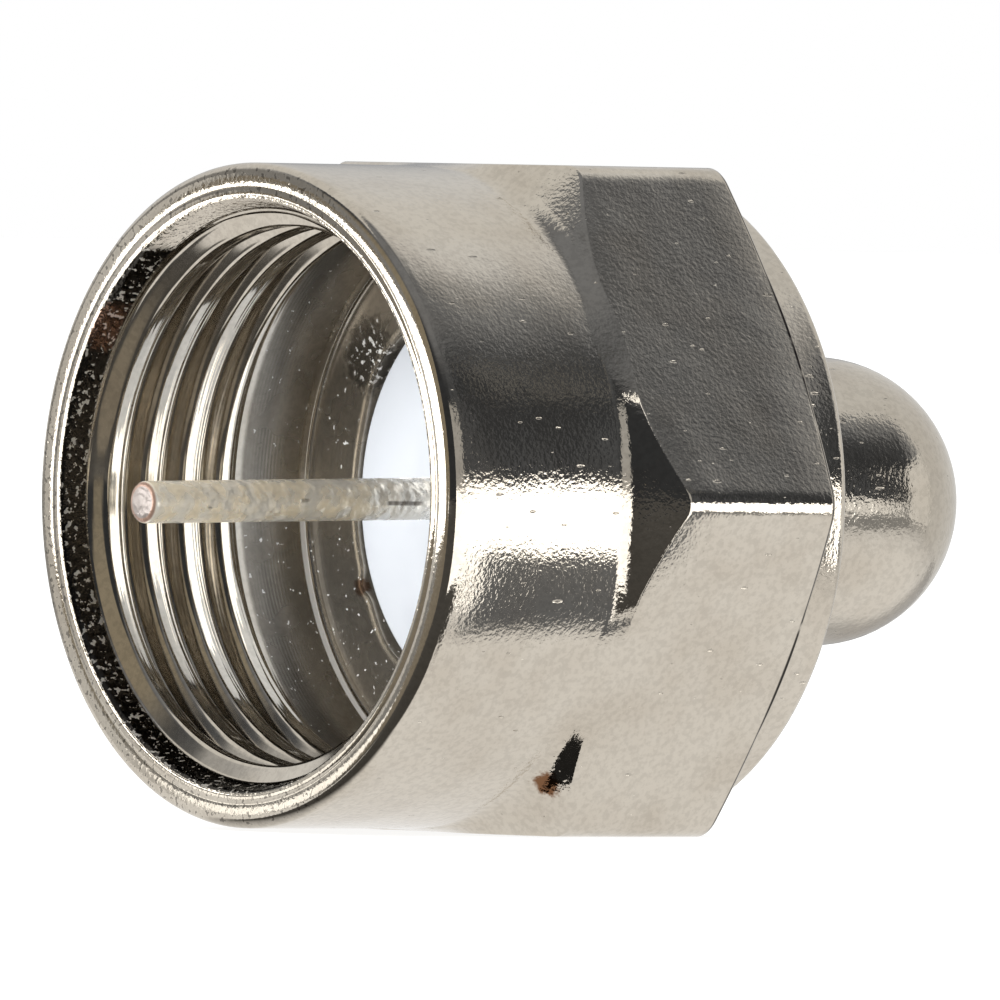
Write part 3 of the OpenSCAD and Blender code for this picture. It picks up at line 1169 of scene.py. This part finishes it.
@dataclass(frozen=True)
class FloorTones:
    """What a mirrored ray sees on the pale floor: places in millimetres, and tones there."""

    across_way: Place = (0.17, 1.0, 0.0)
    beside_way: Place = (0.813, 0.583, 0.0)
    table_edge: Span = (-7.85, -7.05)
    front_from: Span = (-1.9, -1.4)
    front_to: Span = (1.3, 1.9)
    front: Colour = (0.12, 0.127, 0.14)
    left_to: Span = (-0.6, 0.4)
    left_rear: Span = (8.2, 8.5)
    left: Colour = (0.04, 0.037, 0.033)
    tip_to: Span = (-2.9, -2.4)
    tip_from: Span = (-13.0, -12.2)
    lit_x: Span = (-6.5, -5.5)
    lit_y: Span = (0.5, 1.5)
    far_to: Span = (-16.0, -10.0)
    far_from: Span = (-6.0, -4.0)
    far: Colour = (0.22, 0.19, 0.145)
    ahead_to: Span = (-13.0, -11.0)
    ahead: Colour = (0.28, 0.28, 0.28)
    glare_to: Span = (-9.9, -9.3)
    glare: Colour = (2.0, 1.98, 1.95)
    fading: Span = (16.0, 42.0)
    near: Colour = (0.92, 0.91, 0.9)
    distant: Colour = (0.34, 0.34, 0.34)
    # painted shadow under the nub, seen only in reflections
    under_x: Span = (10.0, 13.0)
    under_y: Span = (-1.0, 1.5)
    shadow_under: Colour = (0.25, 0.245, 0.24)
    under_strength: float = 0.6
    plain: Colour = (0.82, 0.82, 0.82)
    pale: Colour = (0.30, 0.30, 0.295)
    shade: Colour = (0.28, 0.28, 0.275)
    shade_scale: float = 0.02
    shade_edge: Span = (0.3, 0.7)
    unlit: Colour = (0.02, 0.02, 0.02)
    rough: float = 0.9
    gloss: float = 0.1

    def material(self) -> Material:
        """Make the floor's material.

        Returns:
            The material.
        """
        material, bench, shader = start_material("pale_floor")
        at = bench.millimetres()
        x, y, _ = bench.split(at)
        across = bench.along(at, self.across_way)
        beside = bench.along(at, self.beside_way)
        mirrored = bench.add("ShaderNodeLightPath").outputs["Is Glossy Ray"]
        away = bench.add("ShaderNodeVectorMath", {0: at}, operation="LENGTH").outputs["Value"]
        sides = bench.product(bench.ramp(beside, *self.front_from), bench.fall(beside, *self.front_to))
        front = bench.product(bench.fall(across, *self.table_edge), sides)
        left = bench.product(bench.fall(x, *self.left_to), bench.fall(y, *self.left_rear))
        tip = bench.product(bench.fall(beside, *self.tip_to), bench.ramp(across, *self.tip_from))
        lit = bench.product(bench.ramp(x, *self.lit_x), bench.ramp(y, *self.lit_y))
        left = bench.product(bench.math("MAXIMUM", left, tip), bench.math("SUBTRACT", 1.0, lit))
        far = bench.product(left, bench.fall(x, *self.far_to), bench.ramp(y, *self.far_from))
        ahead = bench.product(bench.fall(across, *self.ahead_to), bench.ramp(beside, *self.front_to))
        glare = bench.product(bench.fall(across, *self.glare_to), bench.fall(beside, *self.front_from))
        shadow_under = bench.product(bench.ramp(x, *self.under_x), bench.ramp(y, *self.under_y))
        dim = bench.blend(far, self.left, self.far)
        dim = bench.blend(front, dim, self.front)
        dim = bench.blend(ahead, dim, self.ahead)
        near = bench.blend(bench.ramp(away, *self.fading), self.near, self.distant)
        # painted shadow under the nub, in reflections
        near = bench.blend(bench.product(shadow_under, self.under_strength), near, self.shadow_under)
        bright = bench.blend(mirrored, self.plain, near)
        bright = bench.blend(bench.product(glare, mirrored), bright, self.glare)
        dimmed = bench.math("MAXIMUM", bench.math("MAXIMUM", front, left), ahead)
        clouds = bench.ramp(bench.noise(at, self.shade_scale), *self.shade_edge)
        pale = bench.blend(clouds, self.pale, self.shade)
        bench.feed(shader, "Base Color", bench.blend(mirrored, pale, self.unlit))
        bench.feed(shader, "Emission Color", bench.blend(bench.product(dimmed, mirrored), bright, dim))
        shader.inputs["Emission Strength"].default_value = 1.0
        shader.inputs["Roughness"].default_value = self.rough
        shader.inputs["Specular IOR Level"].default_value = self.gloss
        return material


@dataclass(frozen=True)
class RoomTones:
    """Tones of the room around the part, by direction."""

    sweep: tuple[Span, ...] = (
        (-1.0, 0.04), (-0.5, 0.05), (-0.25, 0.1), (-0.2, 0.11), (-0.18, 0.05), (-0.1, 0.045), (-0.03, 0.08),
        (0.03, 0.06), (0.05, 0.075), (0.085, 0.2), (0.14, 0.25), (0.24, 0.42), (0.39, 0.8), (0.5, 0.86),
        (0.9, 0.75), (0.97, 0.6), (1.0, 0.35),
    )
    cool_below: float = 0.5
    cool: Span = (0.14, 0.4)
    left_way: Place = (-0.628, 0.778, 0.0)
    left_edge: Span = (0.84, 0.97)
    left: Colour = (0.3, 0.3, 0.3)
    wall_x: Span = (-0.82, -0.66)
    wall_y: Span = (-0.2, -0.13)
    wall: Colour = (0.33, 0.29, 0.22)
    ceiling_z: Span = (0.55, 0.85)
    ceiling_front: Span = (0.0, 0.12)
    ceiling: Colour = (0.24, 0.25, 0.27)
    over_x: Span = (-0.6, -0.53)
    over_y: Span = (0.1, 0.2)
    over_z: Span = (0.55, 0.68)
    over: Colour = (0.82, 0.81, 0.79)
    seen: Colour = (1.0, 1.0, 1.0)

    def sweep_colour(self, bench: NodeBench, behind: Socket) -> Socket:
        """Shade the sweep from the front of the room to its back.

        Args:
            bench: Bench of the world.
            behind: How far a direction points behind the part, from -1 to 1.

        Returns:
            The colour, a little cooler where it is dark.
        """
        node = bench.add("ShaderNodeValToRGB", {0: bench.math("MULTIPLY_ADD", behind, 0.5, 0.5)})
        stops = node.color_ramp.elements
        while len(stops) < len(self.sweep):
            stops.new(0.5)
        for stop, (place, tone) in zip(stops, self.sweep):
            cool = max(0.0, self.cool_below - tone)
            green, blue = (tone * (1.0 + share * cool) for share in self.cool)
            stop.position = place * 0.5 + 0.5
            stop.color = (tone, green, blue, 1.0)
        return node.outputs[0]

    def fill(self, world: bpy.types.World, behind_way: Vector) -> None:
        """Shade the world.

        Args:
            world: The world.
            behind_way: Direction from the camera to the part.
        """
        bench = NodeBench(world.node_tree)
        way = bench.add("ShaderNodeTexCoord").outputs["Generated"]
        x, y, z = bench.split(way)
        behind = bench.along(way, behind_way)
        over = bench.product(bench.ramp(z, *self.over_z), bench.ramp(y, *self.over_y))
        ceiling = bench.product(bench.ramp(z, *self.ceiling_z), bench.fall(behind, *self.ceiling_front))
        layers = (
            (bench.ramp(bench.along(way, self.left_way), *self.left_edge), self.left),
            (bench.product(bench.fall(x, *self.wall_x), bench.ramp(y, *self.wall_y)), self.wall),
            (ceiling, self.ceiling),
            (bench.product(over, bench.ramp(x, *self.over_x)), self.over),
            (bench.add("ShaderNodeLightPath").outputs["Is Camera Ray"], self.seen),
        )
        room = self.sweep_colour(bench, behind)
        for share, colour in layers:
            room = bench.blend(share, room, colour)
        bench.feed(world.node_tree.nodes["Background"], "Color", room)


@dataclass(frozen=True)
class Card:
    """A card that shows in reflections alone, and from its front alone; sizes are in millimetres."""

    name: str
    place: Place
    facing: Place
    size: Span
    tone: float
    colour: tuple[float, float, float, float] = (1.0, 0.99, 0.97, 1.0)

    def material(self) -> Material:
        """Make a glow that shows from the front.

        Returns:
            The material.
        """
        material = bpy.data.materials.new(self.name)
        material.use_nodes = True
        bench = NodeBench(material.node_tree)
        bench.tree.nodes.remove(bench.tree.nodes["Principled BSDF"])
        glow = bench.add("ShaderNodeEmission", {"Color": self.colour, "Strength": self.tone})
        clear = bench.add("ShaderNodeBsdfTransparent")
        rear = bench.add("ShaderNodeNewGeometry").outputs["Backfacing"]
        mix = bench.add("ShaderNodeMixShader", {0: rear, 1: glow.outputs[0], 2: clear.outputs[0]})
        bench.feed(bench.tree.nodes["Material Output"], "Surface", mix.outputs[0])
        return material

    def stand(self) -> None:
        """Stand the card at its place."""
        bpy.ops.object.select_all(action="DESELECT")
        bpy.ops.mesh.primitive_plane_add(size=1.0)
        card = bpy.context.object
        card.name = self.name
        turned = Vector(self.facing).to_track_quat("Z", "Y").to_matrix().to_4x4()
        shape = Matrix.Diagonal((self.size[0] * MM, self.size[1] * MM, 1.0, 1.0))
        card.matrix_world = Matrix.Translation(Vector(self.place) * MM) @ turned @ shape
        card.data.materials.append(self.material())
        card.visible_camera = False
        card.visible_diffuse = False
        card.visible_transmission = False
        card.visible_shadow = False


INWARD: Place = (-1.0, 0.0, 0.0)
TO_BARREL: Place = (-0.628, 0.778, 0.0)
TO_FRONT: Place = (0.05, 1.0, 0.0)
TO_RIM: Place = (0.63, -0.78, 0.0)
CARDS = (
    Card("side_strip", (15.304, -19.504, -1.9), TO_BARREL, (12.0, 7.2), 3.0),
    Card("right_wall", (28.0, 4.0, 12.0), INWARD, (24.0, 35.0), 0.74),
    Card("right_low", (28.0, -12.8, 2.0), INWARD, (9.6, 12.0), 0.9),
    Card("nub_strip", (21.3, -16.4, -0.9), TO_BARREL, (5.0, 3.0), 1.05),
    Card("lit_near", (5.2, -0.6, 0.45), INWARD, (2.0, 3.7), 2.4),
    Card("lit_far", (5.2, 1.4, 0.2), INWARD, (2.0, 2.0), 2.4),
    Card("fillet_strip", (4.6, -22.8, -2.2), TO_FRONT, (11.0, 6.8), 2.2),
    Card("fillet_top", (4.6, -22.8, 6.4), TO_FRONT, (11.0, 10.4), 0.5),
    Card("left_strip", (-12.6, 10.4, 1.2), TO_RIM, (8.0, 4.0), 5.0),
    Card("rim_low", (-10.3, 12.3, -4.4), TO_RIM, (3.6, 2.1), 1.8),
    Card("edge_strip", (3.1, -8.9, 5.8), (0.9, 0.2, -0.35), (1.6, 1.6), 1.8),
    Card("room_patch", (14.0, -16.7, 12.4), (-0.628, 0.58, -0.519), (1.3, 4.9), 0.17),
    Card("rim_strip", (-8.03, 14.1, 0.0), TO_RIM, (3.8, 12.5), 0.72),
    # dark sheet under the barrel, seen only in reflections, standing in for the shadow under the part
    Card("contact_shadow_sheet", (3.4, -4.0, -5.1), (1.0, 0.0, 0.0), (2.2, 0.9), 0.02),
)


@dataclass
class Studio:
    """Pale floor, soft light and the camera; lengths are in metres."""

    yaw: float = math.radians(-38.901)
    rise: float = math.radians(0.627)
    roll: float = math.radians(1.075)
    away: float = 0.5
    pixels_per_m: float = 60106.0
    frame_px: float = 1000.0
    aim: Place = (0.006, 0.0, 0.0)
    aim_px: Span = (525.68, 498.22)
    sensor_mm: float = 36.0
    clip: Span = (0.01, 20.0)
    floor_size: float = 6.0
    sun_strength: float = 3.4
    sun_spread: float = math.radians(100)
    fill_target: Place = (0.004, 0.0, 0.0)
    fill_offset: Place = (-0.27, -0.06, 0.1)
    fill_size: float = 0.2
    fill_power: float = 1.0

    def axes(self) -> tuple[Vector, Vector, Vector]:
        """Directions of the camera.

        Returns:
            Right, up and back in the frame of the part.
        """
        back = Vector((
            math.sin(self.yaw) * math.cos(self.rise),
            -math.cos(self.yaw) * math.cos(self.rise),
            math.sin(self.rise),
        ))
        level = Vector((0, 0, 1)).cross(back).normalized()
        high = back.cross(level)
        right = level * math.cos(self.roll) + high * math.sin(self.roll)
        up = high * math.cos(self.roll) - level * math.sin(self.roll)
        return right, up, back

    def camera(self) -> None:
        """Stand the camera where the photograph was taken."""
        right, up, back = self.axes()
        data = bpy.data.cameras.new("photo_camera")
        data.sensor_width = self.sensor_mm
        data.lens = data.sensor_width * self.away * self.pixels_per_m / self.frame_px
        data.clip_start, data.clip_end = self.clip
        camera = bpy.data.objects.new("photo_camera", data)
        bpy.context.collection.objects.link(camera)
        across = (self.aim_px[0] - self.frame_px / 2) / self.pixels_per_m
        down = (self.aim_px[1] - self.frame_px / 2) / self.pixels_per_m
        place = Vector(self.aim) + back * self.away - right * across + up * down
        turn_to = Matrix((right, up, back)).transposed().to_4x4()
        camera.matrix_world = Matrix.Translation(place) @ turn_to
        bpy.context.scene.camera = camera

    def floor(self) -> None:
        """Lay a pale floor under the part."""
        bpy.ops.object.select_all(action="DESELECT")
        bpy.ops.mesh.primitive_plane_add(size=self.floor_size, location=(0, 0, CAD_BOX[0][2]))
        floor = bpy.context.object
        floor.name = "floor"
        floor.data.materials.append(FloorTones().material())

    def world(self) -> None:
        """Put a white sweep behind the part and a dim room in front of it."""
        world = bpy.data.worlds.new("studio")
        bpy.context.scene.world = world
        world.use_nodes = True
        RoomTones().fill(world, -self.axes()[2])

    def light(self) -> None:
        """Hang the lamps, which show in no reflection, and stand the cards."""
        sun = bpy.data.lights.new("ceiling", "SUN")
        sun.energy = self.sun_strength
        sun.angle = self.sun_spread
        soft = bpy.data.lights.new("fill", "AREA")
        soft.shape = "RECTANGLE"
        soft.size = self.fill_size
        soft.size_y = self.fill_size
        soft.energy = self.fill_power
        ceiling = bpy.data.objects.new("ceiling", sun)
        fill = bpy.data.objects.new("fill", soft)
        offset = Vector(self.fill_offset)
        turned = offset.to_track_quat("Z", "Y").to_matrix().to_4x4()
        fill.matrix_world = Matrix.Translation(Vector(self.fill_target) + offset) @ turned
        fill.visible_camera = False
        for lamp in (ceiling, fill):
            bpy.context.collection.objects.link(lamp)
            lamp.visible_glossy = False
        for card in CARDS:
            card.stand()

    def build(self) -> None:
        """Set up the whole stage."""
        self.camera()
        self.floor()
        self.world()
        self.light()
        bpy.context.scene.view_settings.view_transform = "Standard"
        LOG.info("studio ready")


def main() -> None:
    """Build the pieces, dress them and set the stage."""
    logging.basicConfig(level=logging.INFO, format="%(name)s %(message)s")
    shelf = EffectShelf()
    tin = TIN.material(shelf)
    shell = ShellCasting()
    shell.dress(shell.build(), NickelFinish().material(shelf))
    bushing = InsulatorBushing()
    bushing.dress(bushing.build(), WHITE_PLASTIC.material(shelf))
    pin = CentrePin()
    pin.dress(pin.build(), tin)
    ResistorInside(tin).dress(shelf)
    Studio().build()


if __name__ == "__main__":
    main()
